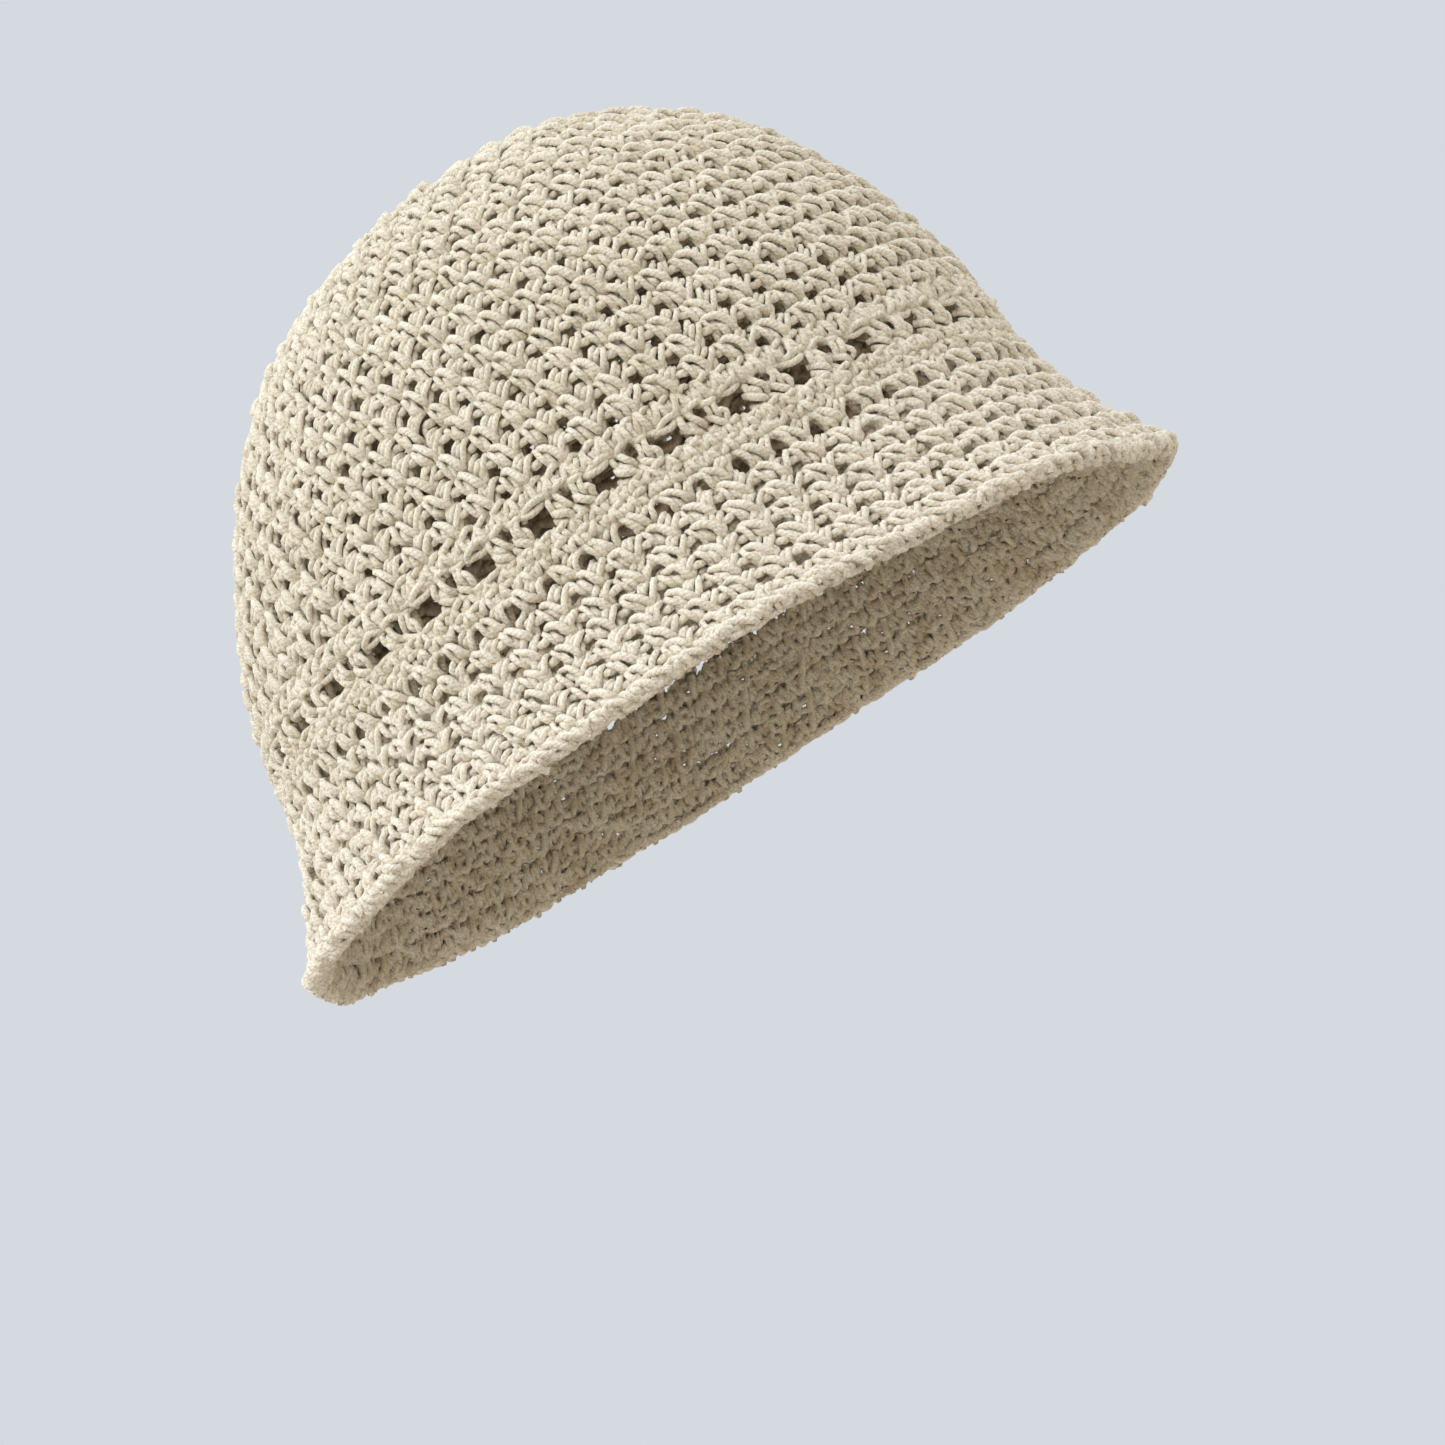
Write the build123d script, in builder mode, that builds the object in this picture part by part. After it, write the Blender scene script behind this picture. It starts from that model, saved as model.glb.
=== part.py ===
from build123d import *
import os
from math import cos, hypot, pi, sin

os.makedirs("parts", exist_ok=True)

# A crocheted cotton cloche: a domed crown, a band with two rows of eyelets, and a short flared brim.
# It stands on its brim. +Z is up, the front faces -Y, and the origin is the middle of the brim's edge
# on the surface that it stands on. The plan is oval, longer from front to back.

# Driving dimensions (mm)
crown_height = 149.0        # from the surface to the top of the crown
band_height = 50.0          # where the crown ends and the brim starts to flare
band_half_length = 102.9    # half the oval at the band, front to back, outside
brim_flare = 18.1           # how far the brim's edge stands out beyond the band
flare_power = 1.9
narrowing_power = 1.37      # low: the crown already narrows from the band up
rounding_power = 2.75       # high: a round, rather flat top
width_ratio = 0.82          # width over length of the oval
crown_lean = 0.077          # the crown leans forward by this much of its height above lean_height
lean_height = 44.0
fabric = 5.0                # thickness of one layer of stitches
start_radius = 14.0         # half length of the starting ring with its first two rounds

# Heights where one group of rounds ends and the next starts, from the top down
crown_centre_foot = 134.0
shoulder_foot = 111.5
upper_side_foot = 86.0
lower_side_foot = 58.0
collar_foot = 53.0
eyelet_foot = 46.2
headband_foot = 40.2
small_eyelet_foot = 35.2
brim_root_foot = 19.3
brim_flare_foot = 4.5

# Eyelets: the gaps between tall stitches that stand on one chain of yarn and carry the next
eyelet_count = 36
eyelet_width = 4.2
small_eyelet_count = 62
small_eyelet_width = 2.6
chain_height = 1.1          # the closed edge above and below a row of eyelets
post_depth = 0.66 * fabric  # through the cloth


def half_length(z, inset=0.0):
    """Half the oval's length at height z, on the outside or inset into the cloth."""
    base = band_half_length - inset
    if z < band_height:
        return base + brim_flare * (1 - z / band_height) ** flare_power
    climb = (z - band_height) / (crown_height - inset - band_height)
    return base * max(1 - climb ** narrowing_power, 0) ** (1 / rounding_power)


def lean(z):
    """How far the oval's middle is moved at height z; forward is -Y."""
    return -crown_lean * max(z - lean_height, 0)


def top_of_disc(inset=0.0):
    """The height at which the dome has narrowed to the starting ring."""
    narrowed = 1 - (start_radius / (band_half_length - inset)) ** rounding_power
    return band_height + (crown_height - inset - band_height) * narrowed ** (1 / narrowing_power)


def oval_sections(foot, top, inset=0.0, steps=3):
    """Faces of the oval at even heights from foot to top, ready to be lofted."""
    faces = []
    for step in range(steps + 1):
        z = foot + (top - foot) * step / steps
        with BuildSketch(Plane.XY.offset(z)) as section:
            with Locations((0, lean(z))):
                Ellipse(width_ratio * half_length(z, inset), half_length(z, inset))
        faces.append(section.sketch.face())
    return faces


def fabric_ring(foot, top):
    """One group of rounds: an oval ring of cloth between two level faces."""
    with BuildPart() as ring:
        loft(oval_sections(foot, top))
        loft(oval_sections(foot, top, inset=fabric), mode=Mode.SUBTRACT)
    return ring.part


def stations(z, count, height):
    """Level planes evenly spaced along the middle of the cloth. z gives the oval and height their level.

    Each plane's x runs along the cloth.
    """
    long_half = half_length(z, fabric / 2)
    wide_half = width_ratio * long_half
    fine = 7200
    lengths = [0.0]
    for i in range(fine):
        angle = 2 * pi * (i + 0.5) / fine
        lengths.append(lengths[-1] + hypot(wide_half * cos(angle), long_half * sin(angle)) * 2 * pi / fine)
    planes = []
    i = 0
    for n in range(count):
        while lengths[i] < lengths[-1] * (n + 0.5) / count:
            i += 1
        angle = 2 * pi * i / fine
        place = (wide_half * sin(angle), -long_half * cos(angle) + lean(z), height)
        along = (wide_half * cos(angle), long_half * sin(angle), 0)
        planes.append(Plane(origin=place, x_dir=along, z_dir=(0, 0, 1)))
    return planes, lengths[-1] / count


def eyelet_ring(foot, top, count, opening):
    """A round of tall stitches: posts between two chains, with an open eyelet between each two posts."""
    planes, spacing = stations((foot + top) / 2, count, foot + chain_height)
    with BuildPart() as ring:
        for low, high in ((foot, foot + chain_height), (top - chain_height, top)):
            loft(oval_sections(low, high, steps=1))
            loft(oval_sections(low, high, inset=fabric, steps=1), mode=Mode.SUBTRACT)
        with BuildSketch(*planes):
            Rectangle(spacing - opening, post_depth)
        extrude(amount=top - foot - 2 * chain_height)
    return ring.part


def crown_cap():
    """The flat middle of the crown, open in the centre for the starting ring."""
    rim_top = top_of_disc()
    roof = top_of_disc(fabric)
    with BuildPart() as cap:
        loft(oval_sections(crown_centre_foot, rim_top, steps=4))
        loft(oval_sections(crown_centre_foot, roof, inset=fabric, steps=4), mode=Mode.SUBTRACT)
        with BuildSketch(Plane.XY.offset(roof - fabric)):
            with Locations((0, lean(rim_top))):
                Ellipse(width_ratio * start_radius, start_radius)
        extrude(amount=3 * fabric, mode=Mode.SUBTRACT)
    return cap.part


with BuildPart() as starting_ring:
    with BuildSketch(Plane.XY.offset(top_of_disc(fabric))):
        with Locations((0, lean(top_of_disc()))):
            Ellipse(width_ratio * start_radius, start_radius)
    extrude(amount=crown_height - top_of_disc(fabric))
    crown_edge = starting_ring.edges().group_by(Axis.Z)[-1]
    chamfer(crown_edge, crown_height - top_of_disc(), 3.0)

pieces = {
    "starting_ring": starting_ring.part,
    "crown_centre": crown_cap(),
    "crown_shoulder": fabric_ring(shoulder_foot, crown_centre_foot),
    "crown_upper_side": fabric_ring(upper_side_foot, shoulder_foot),
    "crown_lower_side": fabric_ring(lower_side_foot, upper_side_foot),
    "collar_round": fabric_ring(collar_foot, lower_side_foot),
    "eyelet_round": eyelet_ring(eyelet_foot, collar_foot, eyelet_count, eyelet_width),
    "headband": fabric_ring(headband_foot, eyelet_foot),
    "small_eyelet_round": eyelet_ring(
        small_eyelet_foot, headband_foot, small_eyelet_count, small_eyelet_width
    ),
    "brim_root": fabric_ring(brim_root_foot, small_eyelet_foot),
    "brim_flare": fabric_ring(brim_flare_foot, brim_root_foot),
    "brim_edge": fabric_ring(0, brim_flare_foot),
}

for name, piece in pieces.items():
    piece.label = name
    export_step(piece, f"parts/{name}.step")
    print(name, len(piece.solids()), "solid", round(piece.volume / 1000, 1), "cm3")
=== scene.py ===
import math

import bpy
import numpy as np
from mathutils import Matrix, Vector


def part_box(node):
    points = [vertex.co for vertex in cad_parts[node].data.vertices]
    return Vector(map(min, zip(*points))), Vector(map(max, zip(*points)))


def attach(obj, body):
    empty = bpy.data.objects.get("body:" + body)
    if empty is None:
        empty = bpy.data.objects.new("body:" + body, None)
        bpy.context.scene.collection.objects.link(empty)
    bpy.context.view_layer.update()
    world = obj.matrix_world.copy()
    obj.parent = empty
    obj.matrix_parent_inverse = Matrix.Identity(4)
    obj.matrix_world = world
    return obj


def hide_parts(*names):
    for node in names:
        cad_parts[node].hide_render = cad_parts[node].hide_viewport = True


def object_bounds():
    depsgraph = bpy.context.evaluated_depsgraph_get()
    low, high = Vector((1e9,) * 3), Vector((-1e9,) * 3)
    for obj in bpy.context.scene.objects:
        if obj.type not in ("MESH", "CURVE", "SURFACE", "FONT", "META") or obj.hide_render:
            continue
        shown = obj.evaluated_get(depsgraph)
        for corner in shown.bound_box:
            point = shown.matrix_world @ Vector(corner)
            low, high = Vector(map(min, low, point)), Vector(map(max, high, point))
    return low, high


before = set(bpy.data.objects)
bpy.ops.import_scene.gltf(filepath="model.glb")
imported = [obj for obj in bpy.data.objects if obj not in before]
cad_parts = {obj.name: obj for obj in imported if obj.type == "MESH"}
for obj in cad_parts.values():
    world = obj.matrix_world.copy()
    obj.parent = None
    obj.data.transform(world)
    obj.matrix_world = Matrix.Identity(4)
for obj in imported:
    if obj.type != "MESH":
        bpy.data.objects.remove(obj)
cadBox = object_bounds()
print("frame loaded:", len(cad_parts), "groups of rounds")

mm = 0.001

# The hat's form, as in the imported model
low, high = cadBox
hatForm = {
    "crownTop": high[2],
    "rimHalf": (high[1] - low[1]) / 2,
    "widthRatio": (high[0] - low[0]) / (high[1] - low[1]),
    "bandHeight": 50.0 * mm,
    "bandHalf": 102.9 * mm,     # front to back, outside the cloth
    "flarePower": 1.9,
    "narrowingPower": 1.37,     # low: the crown already narrows from the band up
    "roundingPower": 2.75,      # high: a round, rather flat top
    "lean": 0.077,              # the crown leans forward by this much of its height above leanHeight
    "leanHeight": 44.0 * mm,
    "yarnInset": 2.9 * mm,      # the stitches' middle lies this far inside the outline
    "sideLift": 3.6 * mm,       # a worn brim lifts a little at the sides
    "brimWave": 0.9 * mm,       # and waves in and out
    "slowBulge": 0.5 * mm,      # the cloth's own unevenness, in and out
    "quickBulge": 0.35 * mm,
    "roundWander": 0.45 * mm,   # the rounds' unevenness, up and down
    "belowEdge": 8 * mm,        # the outline runs on this far below the edge, for the edge's own yarn
    "brimSteps": 600,           # points along the brim's part of the outline, the dome's, and the oval
    "domeSteps": 3000,
    "ovalSteps": 3601,
}
flare = hatForm["rimHalf"] - hatForm["bandHalf"]


def outline():
    # The side outline by its length up from the brim's edge: a power curve for the brim, then a dome
    # whose half length is band half x (1 - climb^narrowing)^(1 / rounding).
    # Lengths are those of an oval halfway between long and wide.
    climb = 1 - (1 - np.linspace(0, 1, hatForm["domeSteps"])) ** hatForm["roundingPower"]
    brimZ = np.linspace(0, hatForm["bandHeight"], hatForm["brimSteps"])[:-1]
    brimR = hatForm["bandHalf"] + flare * (1 - brimZ / hatForm["bandHeight"]) ** hatForm["flarePower"]
    domeZ = hatForm["bandHeight"] + (hatForm["crownTop"] - hatForm["bandHeight"]) * climb
    domeR = hatForm["bandHalf"] * (1 - climb ** hatForm["narrowingPower"]) ** (1 / hatForm["roundingPower"])
    z = np.concatenate([brimZ, domeZ])
    r = np.concatenate([brimR, domeR])
    r[-1] = 0
    middling = (1 + hatForm["widthRatio"]) / 2
    length = np.concatenate([[0], np.cumsum(np.hypot(middling * np.diff(r), np.diff(z)))])
    past = hatForm["belowEdge"]
    slope = (np.array([z[5], r[5]]) - np.array([z[0], r[0]])) / length[5]
    z = np.concatenate([[z[0] - past * slope[0]], z])
    r = np.concatenate([[r[0] - past * slope[1]], r])
    length = np.concatenate([[-past], length])
    return z, r, length


outlineZ, outlineR, outlineLength = outline()
crownLength = outlineLength[-1]


def climbAt(z):
    return float(np.interp(z, outlineZ, outlineLength))


def ovalTable():
    # Angle on the oval against the share of its way round, so that stitches are evenly spaced.
    angle = np.linspace(0, 2 * math.pi, hatForm["ovalSteps"])
    step = np.hypot(np.diff(hatForm["widthRatio"] * np.sin(angle)), np.diff(np.cos(angle)))
    share = np.concatenate([[0], np.cumsum(step)])
    return angle, share / share[-1], share[-1]


ovalAngle, ovalShare, ovalGirth = ovalTable()


def girthAt(climb):
    return ovalGirth * (float(np.interp(climb, outlineLength, outlineR)) - hatForm["yarnInset"])


def onHat(turn, climb, rise):
    # A point of the cloth: turn is the share of the way round from the front, climb the length up from
    # the brim's edge, rise the distance out of the cloth. Point = oval at that height + rise x normal.
    angle = np.interp(np.mod(turn, 1), ovalShare, ovalAngle)
    sine, cosine = np.sin(angle), np.cos(angle)
    ratio = hatForm["widthRatio"]
    climb = climb + hatForm["roundWander"] * np.sin(5 * angle + 30 * climb)
    climb = np.minimum(climb, crownLength - 0.6 * mm)              # short of the centre, where no normal is
    r = np.interp(climb, outlineLength, outlineR)
    z = np.interp(climb, outlineLength, outlineZ)
    nudge = 0.4 * mm
    above, under = climb + nudge, climb - nudge
    slopeR = np.interp(above, outlineLength, outlineR) - np.interp(under, outlineLength, outlineR)
    slopeZ = np.interp(above, outlineLength, outlineZ) - np.interp(under, outlineLength, outlineZ)
    leaning = np.where(z > hatForm["leanHeight"], hatForm["lean"], 0)
    along = np.stack([ratio * cosine, sine, 0 * sine], -1)
    up = np.stack([ratio * slopeR * sine, -slopeR * cosine - leaning * slopeZ, slopeZ], -1)
    normal = np.cross(along, up)
    normal /= np.linalg.norm(normal, axis=-1, keepdims=True)
    brimShare = np.clip(1 - z / hatForm["bandHeight"], 0, 1)
    lift = hatForm["sideLift"] * sine ** 2 * brimShare ** 2
    bulge = (hatForm["slowBulge"] * np.sin(3 * angle + 1.1 + 20 * z)
             + hatForm["quickBulge"] * np.sin(7 * angle + 0.4 - 35 * z))
    wave = hatForm["brimWave"] * brimShare * np.sin(9 * angle + 0.8) + bulge
    wave = wave * np.clip(r / (0.3 * hatForm["bandHalf"]), 0, 1)   # none at the crown's centre
    base = np.stack([ratio * r * sine, -r * cosine - leaning * (z - hatForm["leanHeight"]), z + lift], -1)
    return base + normal * (rise - hatForm["yarnInset"] + wave)[..., None]


yarnLook = {
    "light": (0.85, 0.788, 0.665, 1),
    "middle": (0.755, 0.695, 0.56, 1),
    "tan": (0.63, 0.54, 0.40, 1),
    # painted shade: the ramp's dark end, reached by the strands on the inside
    "paintedShade": (0.20, 0.165, 0.12, 1),
    # painted shade colour for the grooves between plies
    "grooveShade": (0.55, 0.50, 0.42, 1),
    "lightAt": 0.30,            # where each colour sits on the ramp, which ends with painted shade at 1
    "middleAt": 0.54,
    "tanAt": 0.72,
    "patchShare": 0.7,          # how far patches and single strands move along the ramp
    "strandShare": 0.2,
    "grooveShare": 0.38,        # painted shade: how dark the grooves between plies are
    "grooveWidth": 0.55,
    "fleckRange": (0.34, 0.56, 0.72, 1.0),  # fibre noise from and to, and the colour's factor there
    "roughness": 0.88,
    "specular": 0.25,
    "sheen": 0.15,
    "sheenRoughness": 0.5,
    "plies": 3,
    "plyPitch": 3.4,            # mm of yarn for one whole turn of the twist
    "plyDepth": 0.22 * mm,
    "plyRoundness": 0.6,
    "bump": 0.55,
    "fibreHeight": 1.2,         # next to a ply's height of 1
    "fibreScale": 1700,
    "patchScale": 210,
    "noiseDetail": 3,
}


def makeYarnMaterial(look):
    material = bpy.data.materials.new("cotton_yarn_twist")
    material.use_nodes = True
    tree = material.node_tree
    tree.nodes.clear()

    def add(kind, **values):
        node = tree.nodes.new(kind)
        for key, value in values.items():
            setattr(node, key, value)
        return node

    def maths(operation, a, b=None):
        node = add("ShaderNodeMath", operation=operation)
        for slot, value in ((0, a), (1, b)):
            if value is None:
                continue
            if isinstance(value, (int, float)):
                node.inputs[slot].default_value = value
            else:
                tree.links.new(value, node.inputs[slot])
        return node.outputs[0]

    out = add("ShaderNodeOutputMaterial")
    shader = add("ShaderNodeBsdfPrincipled")
    tree.links.new(shader.outputs[0], out.inputs[0])
    shader.inputs["Roughness"].default_value = look["roughness"]
    shader.inputs["Specular IOR Level"].default_value = look["specular"]
    shader.inputs["Sheen Weight"].default_value = look["sheen"]
    shader.inputs["Sheen Roughness"].default_value = look["sheenRoughness"]

    uv = add("ShaderNodeUVMap", uv_map="yarn")
    parts = add("ShaderNodeSeparateXYZ")
    tree.links.new(uv.outputs[0], parts.inputs[0])
    place = add("ShaderNodeTexCoord").outputs["Object"]

    def noise(scale):
        node = add("ShaderNodeTexNoise")
        node.inputs["Scale"].default_value = look[scale]
        node.inputs["Detail"].default_value = look["noiseDetail"]
        tree.links.new(place, node.inputs["Vector"])
        return node

    # Twist: a wave that runs round and along the yarn together
    around = maths("MULTIPLY", parts.outputs[1], 2 * math.pi * look["plies"])
    along = maths("MULTIPLY", parts.outputs[0], 2 * math.pi * look["plies"] / look["plyPitch"])
    wave = maths("ABSOLUTE", maths("SINE", maths("MULTIPLY", maths("ADD", around, along), 0.5)))
    ply = maths("POWER", wave, look["plyRoundness"])

    fibre = noise("fibreScale")
    heightMix = maths("ADD", ply, maths("MULTIPLY", fibre.outputs[0], look["fibreHeight"]))
    bump = add("ShaderNodeBump")
    bump.inputs["Strength"].default_value = look["bump"]
    bump.inputs["Distance"].default_value = look["plyDepth"]
    tree.links.new(heightMix, bump.inputs["Height"])
    tree.links.new(bump.outputs[0], shader.inputs["Normal"])

    # Colour: pale cotton, darker stretches, a few tan flecks; painted shade between the plies and inside
    patch = noise("patchScale")
    strand = add("ShaderNodeAttribute", attribute_name="strandShade")
    mixShare = maths("ADD", maths("MULTIPLY", patch.outputs[0], look["patchShare"]),
                     maths("MULTIPLY", strand.outputs["Fac"], look["strandShare"]))
    ramp = add("ShaderNodeValToRGB")
    ramp.color_ramp.elements[0].position = look["lightAt"]
    ramp.color_ramp.elements[0].color = look["light"]
    ramp.color_ramp.elements[1].position = look["tanAt"]
    ramp.color_ramp.elements[1].color = look["tan"]
    middle = ramp.color_ramp.elements.new(look["middleAt"])
    middle.color = look["middle"]
    # painted shade at the ramp's dark end, for the strands on the inside
    paintedShade = ramp.color_ramp.elements.new(1.0)
    paintedShade.color = look["paintedShade"]
    tree.links.new(mixShare, ramp.inputs[0])
    # painted shade in the grooves between the plies
    grooveShade = add("ShaderNodeMix", data_type="RGBA", blend_type="MULTIPLY")
    tree.links.new(ramp.outputs[0], grooveShade.inputs["A"])
    grooveRamp = add("ShaderNodeValToRGB")
    grooveRamp.color_ramp.elements[0].position = 0.0
    grooveRamp.color_ramp.elements[0].color = look["grooveShade"]
    grooveRamp.color_ramp.elements[1].position = look["grooveWidth"]
    grooveRamp.color_ramp.elements[1].color = (1, 1, 1, 1)
    tree.links.new(ply, grooveRamp.inputs[0])
    tree.links.new(grooveRamp.outputs[0], grooveShade.inputs["B"])
    grooveShade.inputs["Factor"].default_value = look["grooveShare"]
    fleck = add("ShaderNodeMapRange")
    for socket, value in zip(("From Min", "From Max", "To Min", "To Max"), look["fleckRange"]):
        fleck.inputs[socket].default_value = value
    tree.links.new(fibre.outputs[0], fleck.inputs["Value"])
    flecked = add("ShaderNodeVectorMath", operation="SCALE")
    tree.links.new(grooveShade.outputs["Result"], flecked.inputs[0])
    tree.links.new(fleck.outputs[0], flecked.inputs["Scale"])
    tree.links.new(flecked.outputs[0], shader.inputs["Base Color"])
    return material


cottonYarn = makeYarnMaterial(yarnLook)
print("yarn material made")

# A strand's path: (along the round in stitches, up in rounds, out of the cloth in mm), with the
# stitch's middle at 0. Each strand is a Catmull-Rom curve swept with a round yarn.
handWork = {
    "pointSpread": (0.02, 0.032, 0.20),     # how far a point of a strand strays, in the path's own measures
    "stitchSpread": (0.022, 0.035, 0.18),   # how far a whole stitch strays
    "spreadFor": 8.9,                       # the stitch width in mm that these are given for
    "droop": 0.28,                          # what stands proud hangs down by this share
    "yarnSpread": 0.06,                     # uneven thickness
    "thinnest": 0.45,                       # the share of its thickness that a squeezed yarn keeps
    "inside": 0.7,                          # painted shade: how much darker the strands on the inside are
}


def curveWeights(samples, count, joined):
    # Each sample is a blend of the four path points around it.
    spans = count if joined else count - 1
    t = np.linspace(0, spans, samples, endpoint=not joined)
    first = np.minimum(np.floor(t).astype(int), spans - 1)
    f = (t - first)[:, None]
    cubic = np.hstack([
        -0.5 * f + f ** 2 - 0.5 * f ** 3,
        1 - 2.5 * f ** 2 + 1.5 * f ** 3,
        0.5 * f + 2 * f ** 2 - 1.5 * f ** 3,
        -0.5 * f ** 2 + 0.5 * f ** 3,
    ])
    slope = np.hstack([
        -0.5 + 2 * f - 1.5 * f ** 2,
        -5 * f + 4.5 * f ** 2,
        0.5 + 4 * f - 4.5 * f ** 2,
        -f + 1.5 * f ** 2,
    ])
    weights = np.zeros((samples, count + 3))
    slopes = np.zeros((samples, count + 3))
    rows = np.arange(samples)
    for k in range(4):
        weights[rows, first + k] += cubic[:, k]
        slopes[rows, first + k] += slope[:, k]
    return weights, slopes


def carriedSide(tangents, joined):
    # A sideways direction carried along the path without twist; in a closed round, what is left
    # over at the join is spread evenly as a slow turn.
    side = np.zeros_like(tangents)
    start = np.cross(tangents[0], [0.0, 0.0, 1.0])
    if np.linalg.norm(start) < 0.1:
        start = np.cross(tangents[0], [1.0, 0.0, 0.0])
    side[0] = start / np.linalg.norm(start)
    for i in range(1, len(tangents)):
        moved = side[i - 1] - tangents[i] * np.dot(side[i - 1], tangents[i])
        side[i] = moved / np.linalg.norm(moved)
    if joined:
        last = side[-1] - tangents[0] * np.dot(side[-1], tangents[0])
        last /= np.linalg.norm(last)
        gap = math.atan2(np.dot(np.cross(last, side[0]), tangents[0]), np.dot(last, side[0]))
        turns = gap * np.arange(len(tangents)) / len(tangents)
        other = np.cross(tangents, side)
        side = side * np.cos(turns)[:, None] + other * np.sin(turns)[:, None]
    return side


def workStrand(strand, row, seed):
    # One strand of every stitch in a round, each a little different, laid on the cloth: point of the
    # yarn = point of the curve + radius x (cosine x side + sine x other side).
    # Returns points, four-sided faces, uv in yarn lengths, a shade per point, and the end caps.
    # Strands of four sides are those on the inside of the hat, and carry painted shade.
    rng = np.random.default_rng(seed)
    path = np.array(strand["path"], float)
    joined = strand.get("joined", False)
    sides = strand.get("sides", 5)
    samples = strand["samples"]
    count, height = row["count"], row["height"]
    width = girthAt(row["foot"] + height / 2) / count
    scale = np.array([width, height, mm])
    squeeze = min(1.0, width / (strand["natural"] * mm))
    loose = np.array(handWork["pointSpread"]) * strand.get("loose", 1.0) * row.get("loose", 1.0)
    loose[0] *= handWork["spreadFor"] / strand["natural"]
    controls = path[None] + rng.normal(0, 1, (count,) + path.shape) * loose
    controls = controls + rng.normal(0, 1, (count, 1, 3)) * loose + row["sway"]
    if joined:
        shift = np.array([1.0, 0, 0])
        before = np.roll(controls, 1, axis=0)[:, -1:] - shift
        after = np.roll(controls, -1, axis=0)[:, :2] + shift
        calm = np.concatenate([path[-1:] - shift, path, path[:2] + shift])
    else:
        before = 2 * controls[:, :1] - controls[:, 1:2]
        after = np.repeat(2 * controls[:, -1:] - controls[:, -2:-1], 2, axis=1)
        beyond = np.repeat(2 * path[-1:] - path[-2:-1], 2, axis=0)
        calm = np.concatenate([2 * path[:1] - path[1:2], path, beyond])
    whole = np.concatenate([before, controls, after], axis=1)
    weights, slopes = curveWeights(samples, len(path), joined)
    points = np.einsum("sc,ucd->usd", weights, whole) * scale
    points[..., 1] -= handWork["droop"] * np.maximum(points[..., 2], 0)
    tangents = np.einsum("sc,ucd->usd", slopes, whole) * scale
    tangents /= np.linalg.norm(tangents, axis=-1, keepdims=True) + 1e-12
    calmTangent = (slopes @ calm) * scale
    calmTangent /= np.linalg.norm(calmTangent, axis=-1, keepdims=True)
    side = carriedSide(calmTangent, joined)[None] + 0 * tangents
    side = side - tangents * np.sum(side * tangents, -1, keepdims=True)
    side /= np.linalg.norm(side, axis=-1, keepdims=True)
    other = np.cross(tangents, side)
    thick = np.array(strand.get("thick", [1.0] * len(path)), float)
    thick = np.concatenate([thick[-1:] if joined else thick[:1], thick,
                            thick[:2] if joined else np.repeat(thick[-1:], 2)])
    kept = handWork["thinnest"] + (1 - handWork["thinnest"]) * squeeze
    radius = strand["yarn"] * mm * kept * (weights @ thick)[None, :, None, None]
    radius = radius * (1 + handWork["yarnSpread"] * rng.normal(0, 1, (count, 1, 1, 1)))
    around = 2 * math.pi * np.arange(sides) / sides
    ring = (np.cos(around)[None, None, :, None] * side[:, :, None]
            + np.sin(around)[None, None, :, None] * other[:, :, None])
    tube = points[:, :, None] + radius * ring
    turn = (np.arange(count)[:, None, None] + tube[..., 0] / width + row.get("offset", 0.0)) / count
    placed = onHat(turn, row["foot"] + tube[..., 1] + height / 2, tube[..., 2]).reshape(-1, 3)
    index = np.arange(count * samples * sides).reshape(count, samples, sides)
    stepLength = np.linalg.norm(np.diff(points, axis=1), axis=-1)
    if joined:
        chain = index.reshape(-1, sides)
        following = np.roll(chain, -1, axis=0)
        closing = np.full((count, 1), 0.5 * mm)
        stepLength = np.concatenate([stepLength, closing], axis=1)
    else:
        chain = index[:, :-1].reshape(-1, sides)
        following = index[:, 1:].reshape(-1, sides)
    quads = np.stack([chain, following, np.roll(following, -1, 1), np.roll(chain, -1, 1)], -1)
    quads = quads.reshape(-1, 4)[:, ::-1]
    stepLength = stepLength.reshape(-1)
    run = np.cumsum(stepLength) - stepLength
    u0, u1 = run / mm, (run + stepLength) / mm
    v0 = np.arange(sides) / sides
    v1 = v0 + 1 / sides
    grid = np.ones((len(u0), sides))
    uv = np.stack([
        np.stack([u0[:, None] * grid, v0[None] * grid], -1),
        np.stack([u1[:, None] * grid, v0[None] * grid], -1),
        np.stack([u1[:, None] * grid, v1[None] * grid], -1),
        np.stack([u0[:, None] * grid, v1[None] * grid], -1),
    ], 2).reshape(-1, 4, 2)[:, ::-1]
    shade = np.repeat(0.5 * rng.random(count) + 0.5 * row["shade"], samples * sides)
    # painted shade: strands on the inside move toward the ramp's dark end; the others take their round's
    # tone
    shade = shade + (row.get("inside", handWork["inside"]) if sides == 4 else row.get("tone", 0.0))
    caps = [] if joined else [index[:, 0], index[:, -1][:, ::-1]]
    return placed, quads, uv, shade, caps


def workRound(strands, count, foot, height, seed, **more):
    # A round shares one sway and one shade per stitch among its strands.
    rng = np.random.default_rng(seed)
    sway = rng.normal(0, 1, (count, 1, 3)) * np.array(handWork["stitchSpread"]) * more.get("loose", 1.0)
    row = {"count": count, "foot": foot, "height": height, "sway": sway, "shade": rng.random(count), **more}
    return [workStrand(strand, row, seed * 100 + k) for k, strand in enumerate(strands)]


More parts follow.
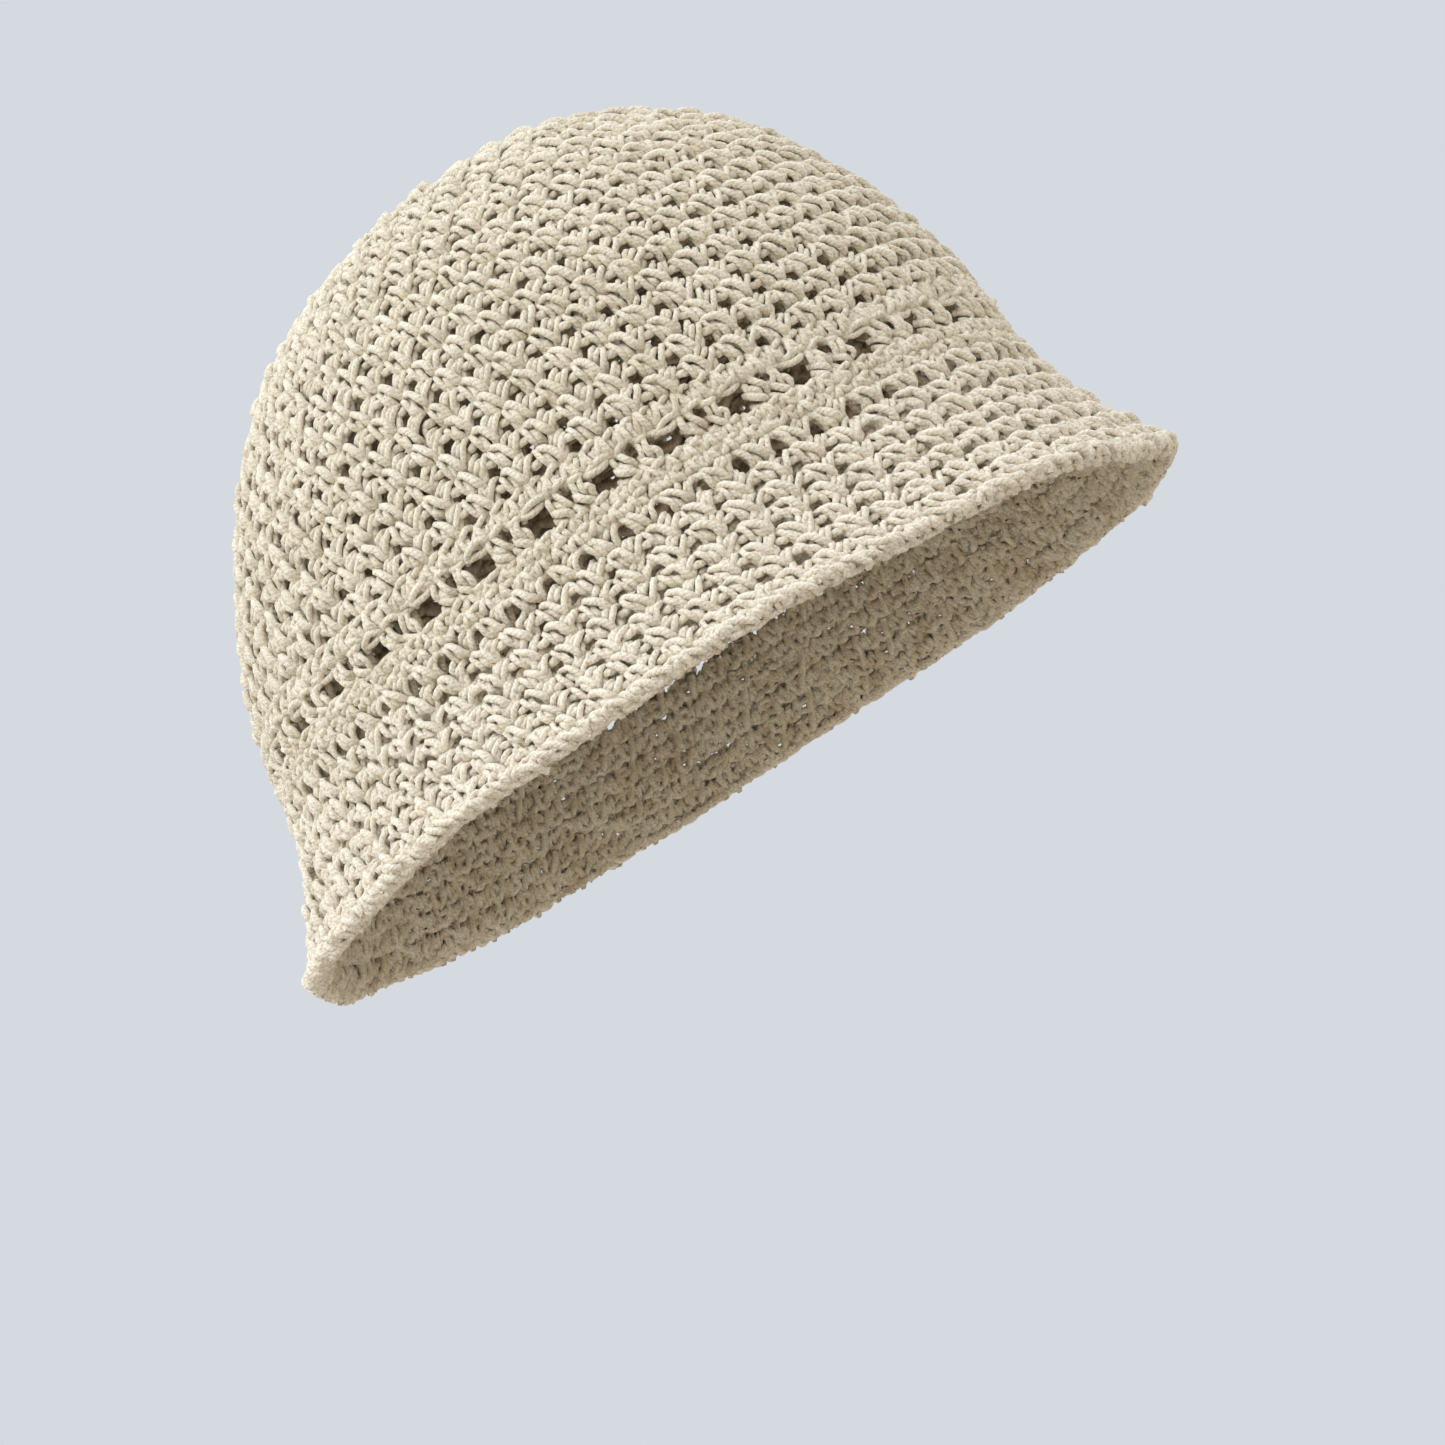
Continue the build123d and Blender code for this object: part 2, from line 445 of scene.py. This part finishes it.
def stitchPiece(name, node, strands):
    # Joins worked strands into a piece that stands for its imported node.
    points, shades, loops, sizes, uvs = [], [], [], [], []
    start = 0
    for placed, quads, uv, shade, caps in strands:
        points.append(placed)
        shades.append(shade)
        loops.append((quads + start).reshape(-1))
        sizes.append(np.full(len(quads), 4))
        uvs.append(uv.reshape(-1, 2))
        for cap in caps:
            loops.append((cap + start).reshape(-1))
            sizes.append(np.full(len(cap), cap.shape[1]))
            uvs.append(np.zeros((cap.size, 2)))
        start += len(placed)
    points = np.concatenate(points)
    loops = np.concatenate(loops).astype(np.int32)
    sizes = np.concatenate(sizes).astype(np.int32)
    mesh = bpy.data.meshes.new(name)
    mesh.vertices.add(len(points))
    mesh.vertices.foreach_set("co", points.astype(np.float32).reshape(-1))
    mesh.loops.add(len(loops))
    mesh.loops.foreach_set("vertex_index", loops)
    mesh.polygons.add(len(sizes))
    mesh.polygons.foreach_set("loop_start", np.concatenate([[0], np.cumsum(sizes)[:-1]]).astype(np.int32))
    mesh.polygons.foreach_set("loop_total", sizes)
    mesh.polygons.foreach_set("use_smooth", np.ones(len(sizes), bool))
    layer = mesh.uv_layers.new(name="yarn")
    layer.data.foreach_set("uv", np.concatenate(uvs).astype(np.float32).reshape(-1))
    shadeLayer = mesh.attributes.new("strandShade", "FLOAT", "POINT")
    shadeLayer.data.foreach_set("value", np.concatenate(shades).astype(np.float32))
    mesh.update()
    mesh.validate()
    piece = bpy.data.objects.new(name, mesh)
    bpy.context.scene.collection.objects.link(piece)
    mesh.materials.append(cottonYarn)
    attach(piece, "root")
    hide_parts(node)
    print(name, "triangles:", int((sizes - 2).sum()))


# The V stitch of the crown and the brim: two legs from one top, a short pair leaning the other way,
# and a round purl under the top with an open slit below it
vStitch = [
    {"path": [(-0.47, -0.56, -0.8), (-0.43, -0.40, 0.5), (-0.31, -0.10, 1.5), (-0.18, 0.18, 1.8),
              (-0.10, 0.36, 1.3), (-0.06, 0.40, -0.3)],
     "samples": 9, "yarn": 0.79, "natural": 8.9, "thick": [0.9, 1, 1, 1, 0.95, 0.7]},
    {"path": [(-0.02, 0.39, -0.5), (0.03, 0.34, 1.1), (0.10, 0.12, 1.9), (0.18, -0.14, 1.7),
              (0.24, -0.36, 0.6), (0.27, -0.46, -0.6)],
     "samples": 9, "yarn": 0.79, "natural": 8.9, "thick": [0.7, 0.95, 1, 1, 0.95, 0.8]},
    {"path": [(0.07, 0.42, -0.5), (0.13, 0.42, 0.9), (0.23, 0.39, 1.9), (0.36, 0.27, 2.4), (0.49, 0.0, 2.5),
              (0.57, -0.26, 2.0), (0.61, -0.42, 0.8), (0.62, -0.52, -0.6)],
     "samples": 11, "yarn": 0.87, "natural": 8.9, "thick": [0.7, 0.85, 1, 1.05, 1.15, 1.2, 1.05, 0.9]},
    {"path": [(0.20, 0.22, -0.4), (0.26, 0.02, 0.9), (0.33, -0.22, 1.5), (0.38, -0.40, 0.9),
              (0.41, -0.50, -0.5)],
     "samples": 7, "yarn": 0.95, "natural": 8.9},
    {"path": [(-0.50, -0.08, -0.4), (-0.46, 0.02, 0.7), (-0.37, 0.20, 1.6), (-0.28, 0.36, 1.2),
              (-0.23, 0.46, -0.3)],
     "samples": 7, "yarn": 0.79, "natural": 8.9},
    {"path": [(-0.58, 0.10, -0.4), (-0.54, 0.20, 0.8), (-0.45, 0.40, 1.5), (-0.37, 0.56, 0.9),
              (-0.33, 0.64, -0.4)],
     "samples": 7, "yarn": 0.79, "natural": 8.9},
    {"path": [(-0.25, 0.10, -0.5), (-0.17, 0.02, 0.5), (-0.05, -0.02, 1.1), (0.07, 0.00, 0.9),
              (0.15, 0.10, -0.3)],
     "samples": 7, "yarn": 0.90, "natural": 8.9, "thick": [0.8, 1.0, 1.12, 1.05, 0.8]},
    {"path": [(-0.40, -0.52, -0.6), (-0.30, -0.40, 0.1), (-0.26, -0.16, 0.3), (-0.24, 0.10, -0.2)],
     "samples": 5, "yarn": 0.85, "natural": 8.9},
    {"path": [(0.16, 0.10, -0.3), (0.20, -0.14, 0.3), (0.22, -0.36, 0.1), (0.24, -0.52, -0.6)],
     "samples": 5, "yarn": 0.80, "natural": 8.9},
]
# What lies behind a V round, on the inside of the hat; it leaves the slit open
vBacking = [
    {"path": [(0.20, -0.02, -1.2), (0.28, -0.38, -1.3), (0.34, 0.0, -1.4), (0.40, 0.34, -1.3),
              (0.46, 0.0, -1.4), (0.52, -0.38, -1.3), (0.58, 0.0, -1.4), (0.64, 0.34, -1.3),
              (0.69, 0.0, -1.4), (0.73, -0.34, -1.3), (0.78, 0.05, -1.4), (0.84, 0.24, -1.3),
              (1.0, 0.27, -1.3), (1.14, 0.20, -1.3)],
     "joined": True, "samples": 24, "sides": 4, "yarn": 1.08, "natural": 8.9, "loose": 0.6},
    {"path": [(-0.28, 0.12, -1.2), (-0.05, 0.06, -1.3), (0.20, 0.12, -1.2)],
     "samples": 4, "sides": 4, "yarn": 1.05, "natural": 8.9, "loose": 0.6},
]
# On the brim the slits are closed from behind by the purls of the round's inside; on the crown the
# same yarn lies deeper, coloured with the inside strands' painted shade, and the slits look open and dark
brimPurls = [
    {"path": [(-0.32, -0.34, -1.0), (-0.18, -0.52, -1.7), (-0.02, -0.34, -1.5), (0.14, -0.26, -1.9),
              (0.28, -0.50, -1.7), (0.44, -0.44, -0.9), (0.56, -0.30, -0.8)],
     "joined": True, "samples": 11, "sides": 4, "yarn": 1.25, "natural": 8.9, "loose": 0.7},
    {"path": [(-0.44, 0.42, -1.2), (-0.34, 0.10, -2.1), (-0.24, -0.28, -2.1), (-0.16, -0.56, -1.2)],
     "samples": 6, "sides": 4, "yarn": 1.05, "natural": 8.9},
    {"path": [(0.02, 0.46, -1.2), (0.06, 0.16, -2.0), (0.04, -0.22, -2.0), (-0.02, -0.50, -1.2)],
     "samples": 6, "sides": 4, "yarn": 1.05, "natural": 8.9},
]
crownSlitShadowYarn = [
    {"path": [(-0.34, -0.26, -1.8), (-0.20, -0.46, -2.8), (0.0, -0.52, -3.0), (0.18, -0.38, -2.8),
              (0.40, -0.24, -1.9), (0.54, -0.18, -1.6)],
     "joined": True, "samples": 9, "sides": 4, "yarn": 1.65, "natural": 8.9, "loose": 0.6},
]

# The plain stitch: two short legs, a filler and a loop of chain over them
plainStitch = [
    {"path": [(0.02, 0.50, -0.5), (-0.03, 0.36, 0.9), (-0.14, 0.0, 1.8), (-0.24, -0.34, 1.2),
              (-0.28, -0.50, -0.5)],
     "samples": 8, "yarn": 0.82, "natural": 4.6},
    {"path": [(-0.02, 0.52, -0.5), (0.06, 0.38, 1.1), (0.16, 0.04, 2.0), (0.26, -0.32, 1.4),
              (0.30, -0.50, -0.4)],
     "samples": 8, "yarn": 0.86, "natural": 4.6},
    {"path": [(0.05, 0.22, -0.4), (0.18, 0.30, 0.9), (0.40, 0.42, 1.7), (0.64, 0.52, 1.4),
              (0.80, 0.52, -0.3)],
     "samples": 8, "yarn": 0.80, "natural": 4.6},
    {"path": [(0.32, 0.26, -0.3), (0.40, 0.05, 0.9), (0.50, -0.22, 1.2), (0.58, -0.44, 0.2)],
     "samples": 6, "yarn": 0.88, "natural": 4.6},
    {"path": [(0.02, 0.20, -0.3), (0.0, 0.02, 0.8), (0.02, -0.22, 1.0), (0.04, -0.46, -0.2)],
     "samples": 6, "yarn": 0.95, "natural": 4.6},
    {"path": [(-0.30, 0.34, -0.3), (-0.34, 0.16, 0.9), (-0.40, -0.06, 1.2), (-0.44, -0.26, -0.2)],
     "samples": 6, "yarn": 0.84, "natural": 4.6},
]
plainBacking = [
    {"path": [(0.0, 0.0, -1.2), (0.14, 0.34, -1.3), (0.26, 0.0, -1.4), (0.38, -0.34, -1.3),
              (0.52, 0.0, -1.4), (0.66, 0.34, -1.3), (0.78, 0.0, -1.4), (0.90, -0.34, -1.3)],
     "joined": True, "samples": 13, "sides": 4, "yarn": 1.08, "natural": 4.6, "loose": 0.6},
]

# Eyelets: the hole's middle is at 0, with two posts of curled strands beyond it and a slit between them
eyeletPosts = [
    {"path": [(0.28, 0.50, -0.5), (0.31, 0.42, 1.0), (0.37, 0.18, 1.9), (0.44, -0.06, 1.8),
              (0.47, -0.22, 0.2)],
     "samples": 9, "yarn": 0.80},
    {"path": [(0.21, 0.46, -0.5), (0.205, 0.30, 1.2), (0.205, 0.06, 1.5), (0.23, -0.14, 0.4)],
     "samples": 7, "yarn": 0.80},
    {"path": [(0.19, -0.04, -0.4), (0.22, -0.12, 1.2), (0.29, -0.22, 2.1), (0.37, -0.34, 1.8),
              (0.43, -0.50, 0.2)],
     "samples": 9, "yarn": 0.88},
    {"path": [(0.25, 0.14, 0.0), (0.30, -0.02, 1.4), (0.35, -0.14, 1.3), (0.38, -0.32, -0.2)],
     "samples": 7, "yarn": 0.88},
    {"path": [(0.19, -0.34, -0.4), (0.22, -0.44, 0.9), (0.29, -0.54, 1.3), (0.37, -0.62, 0.0)],
     "samples": 7, "yarn": 0.82},
    {"path": [(0.57, 0.50, -0.5), (0.59, 0.40, 1.2), (0.60, 0.15, 1.8), (0.58, -0.08, 1.2),
              (0.56, -0.20, -0.2)],
     "samples": 8, "yarn": 0.80},
    {"path": [(0.69, 0.50, -0.5), (0.69, 0.40, 1.3), (0.68, 0.12, 2.0), (0.69, -0.10, 1.5),
              (0.72, -0.24, 0.2)],
     "samples": 8, "yarn": 0.80},
    {"path": [(0.66, 0.16, 0.2), (0.72, 0.07, 1.5), (0.78, -0.06, 1.8), (0.80, -0.22, 1.6),
              (0.77, -0.38, 0.6), (0.72, -0.45, -0.5)],
     "samples": 10, "yarn": 0.76},
    {"path": [(0.54, -0.04, -0.3), (0.57, -0.16, 1.3), (0.64, -0.30, 2.0), (0.72, -0.44, 1.4),
              (0.78, -0.58, -0.2)],
     "samples": 9, "yarn": 0.88},
    {"path": [(0.49, -0.30, -0.4), (0.52, -0.42, 1.0), (0.58, -0.54, 1.3), (0.65, -0.64, 0.0)],
     "samples": 7, "yarn": 0.82},
    {"path": [(0.27, 0.60, -1.0), (0.27, 0.20, -1.2), (0.28, -0.20, -1.2), (0.27, -0.60, -1.0)],
     "samples": 5, "sides": 4, "yarn": 1.1},
    {"path": [(0.37, 0.60, -1.0), (0.38, 0.10, -1.2), (0.39, -0.60, -1.0)],
     "samples": 5, "sides": 4, "yarn": 1.0},
    {"path": [(0.61, 0.60, -1.0), (0.62, 0.10, -1.2), (0.61, -0.60, -1.0)],
     "samples": 5, "sides": 4, "yarn": 1.0},
    {"path": [(0.71, 0.60, -1.0), (0.72, 0.10, -1.2), (0.71, -0.60, -1.0)],
     "samples": 5, "sides": 4, "yarn": 1.1},
]
eyeletChain = [
    {"path": [(-0.20, 0.30, -0.5), (-0.15, 0.42, 1.0), (-0.04, 0.58, 1.9), (0.10, 0.66, 1.9),
              (0.20, 0.58, 1.2), (0.24, 0.46, -0.4)],
     "samples": 10, "yarn": 0.86},
    {"path": [(-0.26, 0.52, -0.4), (-0.18, 0.38, 1.0), (-0.05, 0.30, 1.4), (0.08, 0.32, 1.2),
              (0.16, 0.44, 0.6), (0.19, 0.56, -0.5)],
     "samples": 9, "yarn": 0.80},
    {"path": [(-0.24, 0.60, -0.9), (0.0, 0.54, -0.8), (0.22, 0.60, -0.9)],
     "samples": 5, "sides": 4, "yarn": 1.1},
    {"path": [(0.26, 0.44, -0.5), (0.32, 0.54, 1.2), (0.42, 0.64, 1.9), (0.52, 0.62, 1.6),
              (0.57, 0.50, -0.3)],
     "samples": 9, "yarn": 0.86},
    {"path": [(0.53, 0.62, -0.4), (0.58, 0.50, 1.2), (0.66, 0.44, 1.6), (0.74, 0.48, 1.1),
              (0.79, 0.58, -0.4)],
     "samples": 9, "yarn": 0.84},
    {"path": [(0.62, 0.56, -0.4), (0.68, 0.66, 1.4), (0.76, 0.66, 1.5), (0.82, 0.54, 0.9),
              (0.84, 0.42, -0.6)],
     "samples": 9, "yarn": 0.82},
    {"path": [(0.24, 0.66, 0.2), (0.30, 0.60, 1.0), (0.34, 0.48, 1.0), (0.36, 0.34, -0.3)],
     "samples": 7, "yarn": 0.84},
]
for strand in eyeletPosts + eyeletChain:
    strand["natural"] = 15.6
    strand["loose"] = 0.8

# A smaller eyelet is a V stitch without its purl, its legs bowed round the hole
smallEyeletStitch = [
    {"path": [(-0.33, -0.56, -0.8), (-0.31, -0.42, 0.6), (-0.28, -0.10, 1.5), (-0.22, 0.18, 1.8),
              (-0.11, 0.40, 1.2), (-0.05, 0.48, -0.3)],
     "samples": 9, "yarn": 0.79, "natural": 9.2},
    {"path": [(-0.05, 0.48, -0.5), (0.05, 0.40, 1.1), (0.16, 0.16, 1.9), (0.22, -0.14, 1.7),
              (0.24, -0.40, 0.6), (0.26, -0.52, -0.6)],
     "samples": 9, "yarn": 0.79, "natural": 9.2},
    {"path": [(-0.22, 0.44, -0.4), (-0.10, 0.38, 0.6), (0.02, 0.36, 0.9), (0.14, 0.40, -0.4)],
     "samples": 6, "yarn": 0.82, "natural": 9.2},
] + vStitch[2:6]
smallEyeletBacking = [
    {"path": [(0.30, -0.38, -1.3), (0.34, 0.0, -1.4), (0.40, 0.34, -1.3), (0.46, 0.0, -1.4),
              (0.52, -0.38, -1.3), (0.58, 0.0, -1.4), (0.62, 0.34, -1.3), (0.66, 0.0, -1.4),
              (0.70, -0.40, -1.3), (0.72, 0.10, -1.3), (0.80, 0.44, -1.3), (1.0, 0.50, -1.3),
              (1.18, 0.40, -1.3), (1.26, 0.0, -1.3)],
     "joined": True, "samples": 24, "sides": 4, "yarn": 1.0, "natural": 9.2, "loose": 0.6},
]

# The edge is a chain lying on its side: long strands leaning down, shorter ones leaning up beside
# them, and a third that fills the turn of the edge
edgeStitch = [
    {"path": [(-0.44, 0.46, -0.4), (-0.18, 0.34, 1.3), (0.30, 0.06, 2.1), (0.82, -0.24, 1.6),
              (1.08, -0.38, 0.3), (1.14, -0.36, -0.9)],
     "samples": 10, "yarn": 0.92, "natural": 3.2, "loose": 1.6},
    {"path": [(-0.34, -0.26, -0.3), (-0.08, 0.0, 1.0), (0.18, 0.24, 1.5), (0.42, 0.42, 1.0),
              (0.56, 0.50, -0.4)],
     "samples": 8, "yarn": 0.88, "natural": 3.2, "loose": 1.8},
    {"path": [(-0.35, -0.30, 0.3), (-0.05, -0.36, -0.3), (0.50, -0.28, -0.9), (1.00, -0.02, -1.2),
              (1.2, 0.26, -0.8)],
     "samples": 7, "yarn": 1.0, "natural": 3.2, "loose": 1.2},
]


def stitchRounds(node, rounds):
    # A node of many rounds is two pieces, so that neither is too heavy.
    half = (len(rounds) + 1) // 2
    for label, part in (("lower", rounds[:half]), ("upper", rounds[half:])):
        if part:
            stitchPiece(node + "_" + label + "_rounds", node, sum(part, []))


def nodeSpan(node):
    lowCorner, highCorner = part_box(node)
    return climbAt(lowCorner[2]), climbAt(highCorner[2])


# Crown: V rounds of one height from the collar to the starting ring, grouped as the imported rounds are
crownWork = {
    "nodes": ("crown_lower_side", "crown_upper_side", "crown_shoulder", "crown_centre"),
    "roundHeight": 6.1 * mm,
    "stitchWidth": 8.95 * mm,
    "mostStitches": 62,         # as many as the band has
    "ringSpan": 12.7 * mm,      # from the crown's centre to the end of the starting ring
    "inside": 1.9,              # painted shade: darker inside, so that the slits read as dark as over a head
    "seed": 100,
}
crownFoot = nodeSpan("crown_lower_side")[0]
crownSpan = crownLength - crownWork["ringSpan"] - crownFoot
crownRows = round(crownSpan / crownWork["roundHeight"])
rowHeight = crownSpan / crownRows
crownRounds = {}
for i in range(crownRows):
    foot = crownFoot + i * rowHeight
    middle = foot + rowHeight / 2
    count = min(crownWork["mostStitches"], round(girthAt(middle) / crownWork["stitchWidth"]))
    middleZ = float(np.interp(middle, outlineLength, outlineZ))
    node = [name for name in crownWork["nodes"]
            if middleZ >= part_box(name)[0][2] or name == "crown_lower_side"][-1]
    crownRounds.setdefault(node, []).append(
        workRound(vStitch + vBacking + crownSlitShadowYarn, count, foot, rowHeight, crownWork["seed"] + i,
                  inside=crownWork["inside"]))
for node, rounds in crownRounds.items():
    stitchRounds(node, rounds)

# Brim: looser V rounds, more stitches in each towards the edge
brimWork = {
    "rounds": {"brim_root": 3, "brim_flare": 3},
    "stitchWidth": 9.1 * mm,
    "loose": 1.25,
    "stagger": 0.3,             # each round starts this share of a stitch further on
    # partly painted light, making the brim paler as if lit more strongly from above; partly a paler yarn
    "tone": -0.85,              # a little paler than the crown
    "seed": 200,
}
for k, (node, rows) in enumerate(brimWork["rounds"].items()):
    foot, top = nodeSpan(node)
    height = (top - foot) / rows
    rounds = []
    for i in range(rows):
        count = round(girthAt(foot + (i + 0.5) * height) / brimWork["stitchWidth"])
        rounds.append(workRound(vStitch + vBacking + brimPurls, count, foot + i * height, height,
                                brimWork["seed"] + 10 * k + i, loose=brimWork["loose"],
                                offset=brimWork["stagger"] * i, tone=brimWork["tone"]))
    stitchRounds(node, rounds)

# Collar and headband: plain rounds, two stitches to each V
bandWork = {
    "rounds": {"collar_round": 1, "headband": 2},
    "stitches": 124,
    "loose": 1.1,
    "stagger": 0.37,
    "seed": 300,
}
for k, (node, rows) in enumerate(bandWork["rounds"].items()):
    foot, top = nodeSpan(node)
    height = (top - foot) / rows
    strands = []
    for i in range(rows):
        strands += workRound(plainStitch + plainBacking, bandWork["stitches"], foot + i * height, height,
                             bandWork["seed"] + 10 * k + i, loose=bandWork["loose"],
                             offset=bandWork["stagger"] * i)
    stitchPiece(node + "_stitches", node, strands)

# The two rounds of eyelets
eyeletWork = {"large": 36, "small": 62, "largeSeed": 400, "smallSeed": 410}
foot, top = nodeSpan("eyelet_round")
# the large eyelets' inside strands take the crown's painted shade
stitchPiece("eyelet_round_stitches", "eyelet_round",
            workRound(eyeletPosts + eyeletChain, eyeletWork["large"], foot, top - foot,
                      eyeletWork["largeSeed"], inside=crownWork["inside"]))
foot, top = nodeSpan("small_eyelet_round")
stitchPiece("small_eyelet_round_stitches", "small_eyelet_round",
            workRound(smallEyeletStitch + smallEyeletBacking, eyeletWork["small"], foot, top - foot,
                      eyeletWork["smallSeed"]))

# Edge: a short plain round, and the chain over its foot
edgeWork = {
    "plainWidth": 4.6 * mm,
    "plainFoot": 2.8 * mm,      # above the edge
    "plainShort": 2.4 * mm,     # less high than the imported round
    "plainLoose": 1.4,
    "chainWidth": 3.8 * mm,
    "chainFoot": 1.9 * mm,
    "chainHeight": 4.8 * mm,
    "plainSeed": 420,
    "chainSeed": 430,
}
foot, top = nodeSpan("brim_edge")
plainCount = round(girthAt(foot) / edgeWork["plainWidth"])
chainCount = round(girthAt(foot) / edgeWork["chainWidth"])
plainRound = workRound(plainStitch + plainBacking, plainCount, foot + edgeWork["plainFoot"],
                       top - foot - edgeWork["plainShort"], edgeWork["plainSeed"],
                       loose=edgeWork["plainLoose"], tone=brimWork["tone"])
chainRound = workRound(edgeStitch, chainCount, foot + edgeWork["chainFoot"],
                       edgeWork["chainHeight"], edgeWork["chainSeed"], tone=brimWork["tone"])
stitchPiece("brim_edge_stitches", "brim_edge", plainRound + chainRound)

# Starting ring: one short round of V stitches, one of plain stitches, and the closed yarn ring
ringYarn = [
    {"path": [(0.0, 0.0, -0.5), (0.33, 0.04, -0.2), (0.66, -0.02, -0.4)],
     "joined": True, "samples": 3, "yarn": 1.0, "natural": 1.2, "loose": 0.2, "sides": 6},
]
ringWork = {
    "stitches": 9,
    "vHeight": 5.2 * mm,
    "plainHeight": 4.6 * mm,
    "yarnFromCentre": 2.9 * mm,
    "yarnHeight": 1.6 * mm,
    "yarnSteps": 12,
    "seed": 440,
}
foot = crownLength - crownWork["ringSpan"]
stitchPiece("starting_ring_stitches", "starting_ring",
            workRound(vStitch + vBacking, ringWork["stitches"], foot, ringWork["vHeight"], ringWork["seed"])
            + workRound(plainStitch + plainBacking, ringWork["stitches"], foot + ringWork["vHeight"],
                        ringWork["plainHeight"], ringWork["seed"] + 10)
            + workRound(ringYarn, ringWork["yarnSteps"], crownLength - ringWork["yarnFromCentre"],
                        ringWork["yarnHeight"], ringWork["seed"] + 20))

# Camera, then floor, sky and key light
cameraPlace = {
    "eye": (-0.66145, -0.10678, -0.10148),
    "aim": (0.00987, 0.00492, 0.00735),
    "roll": -32.06,
    "lens": 72,
    "sensor": 36,
}
camera = bpy.data.cameras.new("camera")
camera.lens = cameraPlace["lens"]
camera.sensor_width = cameraPlace["sensor"]
cameraObject = bpy.data.objects.new("camera", camera)
bpy.context.scene.collection.objects.link(cameraObject)
eye = Vector(cameraPlace["eye"])
away = (Vector(cameraPlace["aim"]) - eye).normalized()
level = away.to_track_quat("-Z", "Y").to_matrix().to_4x4()
cameraObject.matrix_world = Matrix.Translation(eye) @ level @ Matrix.Rotation(
    math.radians(cameraPlace["roll"]), 4, "Z")
bpy.context.scene.camera = cameraObject

studio = {
    "backdrop": (0.66, 0.70, 0.745, 1),
    "above": (0.98, 0.99, 1.0, 1),
    "below": (0.44, 0.39, 0.33, 1),
    "strength": 1.40,
    "lowSky": 0.35,             # where the sky starts to turn from below to above, and where it ends
    "highSky": 0.70,
    "floorSize": 6.0,           # half of the floor's side, in metres
    "floorColour": (0.50, 0.505, 0.515, 1),
    "keyPower": 6.0,
    "keySize": 0.8,
    "keyColour": (0.93, 0.97, 1.0),
    "keyPlace": (-0.75, 0.62, 1.0),
    "keyAim": (0, 0, 0.08),
}


def makeFloor():
    # A plain floor, seen only from above, so that a view from below still shows the hat
    size = studio["floorSize"]
    mesh = bpy.data.meshes.new("floor")
    corners = [(-size, -size, 0), (size, -size, 0), (size, size, 0), (-size, size, 0)]
    mesh.from_pydata(corners, [], [(0, 1, 2, 3)])
    floor = bpy.data.objects.new("floor", mesh)
    bpy.context.scene.collection.objects.link(floor)
    material = bpy.data.materials.new("floor_plain")
    material.use_nodes = True
    tree = material.node_tree
    tree.nodes.clear()
    out = tree.nodes.new("ShaderNodeOutputMaterial")
    pick = tree.nodes.new("ShaderNodeMixShader")
    clear = tree.nodes.new("ShaderNodeBsdfTransparent")
    plain = tree.nodes.new("ShaderNodeBsdfDiffuse")
    plain.inputs[0].default_value = studio["floorColour"]
    seen = tree.nodes.new("ShaderNodeLightPath")
    face = tree.nodes.new("ShaderNodeNewGeometry")
    front = tree.nodes.new("ShaderNodeMath")
    front.operation = "SUBTRACT"
    tree.links.new(seen.outputs["Is Camera Ray"], front.inputs[0])
    tree.links.new(face.outputs["Backfacing"], front.inputs[1])
    front.use_clamp = True
    tree.links.new(front.outputs[0], pick.inputs[0])
    tree.links.new(clear.outputs[0], pick.inputs[1])
    tree.links.new(plain.outputs[0], pick.inputs[2])
    tree.links.new(pick.outputs[0], out.inputs[0])
    mesh.materials.append(material)


def makeSky():
    # Bright above, a dim warm bounce below, and a plain backdrop for the camera
    world = bpy.data.worlds.new("studio")
    bpy.context.scene.world = world
    world.use_nodes = True
    tree = world.node_tree
    back = tree.nodes["Background"]
    back.inputs[1].default_value = studio["strength"]
    place = tree.nodes.new("ShaderNodeTexCoord")
    parts = tree.nodes.new("ShaderNodeSeparateXYZ")
    tree.links.new(place.outputs["Generated"], parts.inputs[0])
    ramp = tree.nodes.new("ShaderNodeValToRGB")
    ramp.color_ramp.elements[0].position = studio["lowSky"]
    ramp.color_ramp.elements[0].color = studio["below"]
    ramp.color_ramp.elements[1].position = studio["highSky"]
    ramp.color_ramp.elements[1].color = studio["above"]
    half = tree.nodes.new("ShaderNodeMath")
    half.operation = "MULTIPLY_ADD"
    half.inputs[1].default_value = 0.5
    half.inputs[2].default_value = 0.5
    tree.links.new(parts.outputs[2], half.inputs[0])
    tree.links.new(half.outputs[0], ramp.inputs[0])
    tree.links.new(ramp.outputs[0], back.inputs[0])
    plain = tree.nodes.new("ShaderNodeBackground")
    plain.inputs[0].default_value = studio["backdrop"]
    seen = tree.nodes.new("ShaderNodeLightPath")
    pick = tree.nodes.new("ShaderNodeMixShader")
    tree.links.new(seen.outputs["Is Camera Ray"], pick.inputs[0])
    tree.links.new(back.outputs[0], pick.inputs[1])
    tree.links.new(plain.outputs[0], pick.inputs[2])
    tree.links.new(pick.outputs[0], tree.nodes["World Output"].inputs[0])


makeFloor()
makeSky()
key = bpy.data.lights.new("key", "AREA")
key.energy = studio["keyPower"]
key.size = studio["keySize"]
key.color = studio["keyColour"]
keyObject = bpy.data.objects.new("key", key)
bpy.context.scene.collection.objects.link(keyObject)
keyObject.location = studio["keyPlace"]
toHat = Vector(studio["keyAim"]) - keyObject.location
keyObject.rotation_euler = toHat.to_track_quat("-Z", "Y").to_euler()
bpy.context.scene.view_settings.view_transform = "Standard"
print("camera, floor and lights set")
